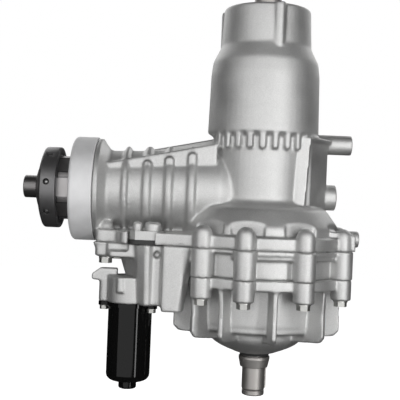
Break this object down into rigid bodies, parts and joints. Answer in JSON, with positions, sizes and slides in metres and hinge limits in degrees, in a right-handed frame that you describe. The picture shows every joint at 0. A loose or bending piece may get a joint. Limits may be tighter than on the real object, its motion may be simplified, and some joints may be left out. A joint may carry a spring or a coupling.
{
  "type": "transfer case",
  "caption": "Right-angle bevel drive unit: ribbed cast housing, side input coupling, coaxial upper and lower outputs, locking clutch and motor-driven oil pump.",
  "frame": {"origin": "centre of the support face at the top of the neck", "axes": "+Z out of the support face along the output axis, -X towards the input coupling"},
  "size_m": [0.374, 0.2087, 0.4555],
  "materials": {
    "cast_aluminium": "fine cast",
    "machined_aluminium": "turned",
    "zinc_steel": "zinc plated",
    "gear_steel": "ground",
    "bearing_steel": "polished",
    "case_iron": "machined",
    "coupling_steel": "phosphated",
    "seal_rubber": "matte",
    "lining": "matte paper",
    "bronze": "turned",
    "black_can": "gloss",
    "magnet": "matte",
    "winding": "lacquered"
  },
  "bodies": {
    "housing": {"main_housing": "cast_aluminium", "mid_housing": "cast_aluminium", "end_cover": "cast_aluminium", "input_bearing_housing": "machined_aluminium", "housing_bolts": "zinc_steel", "input_housing_screws": "zinc_steel", "joint_dowels": "zinc_steel", "upper_seal": "seal_rubber", "neck_circlip": "gear_steel", "lower_seal": "seal_rubber", "input_seal": "seal_rubber", "neck_bearing_outer_ring": "bearing_steel", "upper_case_bearing_outer_ring": "bearing_steel", "lower_case_bearing_outer_ring": "bearing_steel", "inner_input_bearing_outer_ring": "bearing_steel", "outer_input_bearing_outer_ring": "bearing_steel", "pump_body": "cast_aluminium", "motor_flange": "machined_aluminium", "motor_screws": "zinc_steel", "motor_can": "black_can", "motor_magnets": "magnet", "port_seal": "seal_rubber", "port_cap": "machined_aluminium", "drain_plug": "zinc_steel"},
    "input": {"input_shaft": "gear_steel", "coupling_flange": "coupling_steel", "coupling_nut": "gear_steel", "input_bearing_spacer": "gear_steel", "inner_input_bearing_inner_ring": "bearing_steel", "outer_input_bearing_inner_ring": "bearing_steel", "input_bearing_rollers": "bearing_steel"},
    "case": {"case_cover": "case_iron", "case_cup": "case_iron", "ring_gear": "gear_steel", "ring_gear_bolts": "gear_steel", "cross_pin": "gear_steel", "side_gear_washers": "bronze", "clutch_drum": "gear_steel", "steel_plates": "gear_steel", "pressure_plate": "gear_steel", "piston_thrust_bearing": "bearing_steel", "upper_case_bearing_inner_ring": "bearing_steel", "lower_case_bearing_inner_ring": "bearing_steel", "case_bearing_rollers": "bearing_steel"},
    "upper_output": {"upper_output_shaft": "gear_steel", "upper_side_gear": "gear_steel", "clutch_hub": "gear_steel", "friction_plates": "lining", "neck_bearing_inner_ring": "bearing_steel", "neck_bearing_rollers": "bearing_steel"},
    "lower_output": {"lower_output_shaft": "gear_steel", "lower_side_gear": "gear_steel"},
    "planet_a": {"planet_gear_a": "gear_steel"},
    "planet_b": {"planet_gear_b": "gear_steel"},
    "piston": {"clutch_piston": "cast_aluminium", "piston_seals": "seal_rubber"},
    "motor_rotor": {"motor_shaft": "gear_steel", "motor_armature": "winding", "pump_inner_rotor": "gear_steel"},
    "pump_rotor": {"pump_outer_rotor": "gear_steel"}
  },
  "joints": [
    {"name": "case_spin", "type": "hinge", "parent": "housing", "child": "case", "pos_m": [0, 0, -0.202], "axis": [0, 0, 1], "continuous": true},
    {"name": "input_spin", "type": "hinge", "parent": "housing", "child": "input", "pos_m": [-0.15, 0, -0.202], "axis": [-1, 0, 0], "continuous": true},
    {"name": "upper_output_spin", "type": "hinge", "parent": "case", "child": "upper_output", "pos_m": [0, 0, -0.1], "axis": [0, 0, 1], "continuous": true},
    {"name": "lower_output_spin", "type": "hinge", "parent": "case", "child": "lower_output", "pos_m": [0, 0, -0.36], "axis": [0, 0, 1], "continuous": true},
    {"name": "planet_a_spin", "type": "hinge", "parent": "case", "child": "planet_a", "pos_m": [0.02, 0, -0.299], "axis": [1, 0, 0], "continuous": true},
    {"name": "planet_b_spin", "type": "hinge", "parent": "case", "child": "planet_b", "pos_m": [-0.02, 0, -0.299], "axis": [1, 0, 0], "continuous": true},
    {"name": "piston_slide", "type": "slide", "parent": "housing", "child": "piston", "axis": [0, 0, -1], "range_m": [0, 0.0015]},
    {"name": "motor_spin", "type": "hinge", "parent": "housing", "child": "motor_rotor", "pos_m": [-0.136, -0.027, -0.36], "axis": [0, 0, 1], "continuous": true},
    {"name": "pump_outer_spin", "type": "hinge", "parent": "housing", "child": "pump_rotor", "pos_m": [-0.136, -0.0254, -0.316], "axis": [0, 0, 1], "continuous": true}
  ],
  "couplings": [
    {"joint": "input_spin", "follows": "case_spin", "ratio": 2.8462},
    {"joint": "lower_output_spin", "follows": "upper_output_spin", "ratio": -1},
    {"joint": "planet_a_spin", "follows": "upper_output_spin", "ratio": -1.6},
    {"joint": "planet_b_spin", "follows": "upper_output_spin", "ratio": 1.6},
    {"joint": "pump_outer_spin", "follows": "motor_spin", "ratio": 0.8}
  ]
}
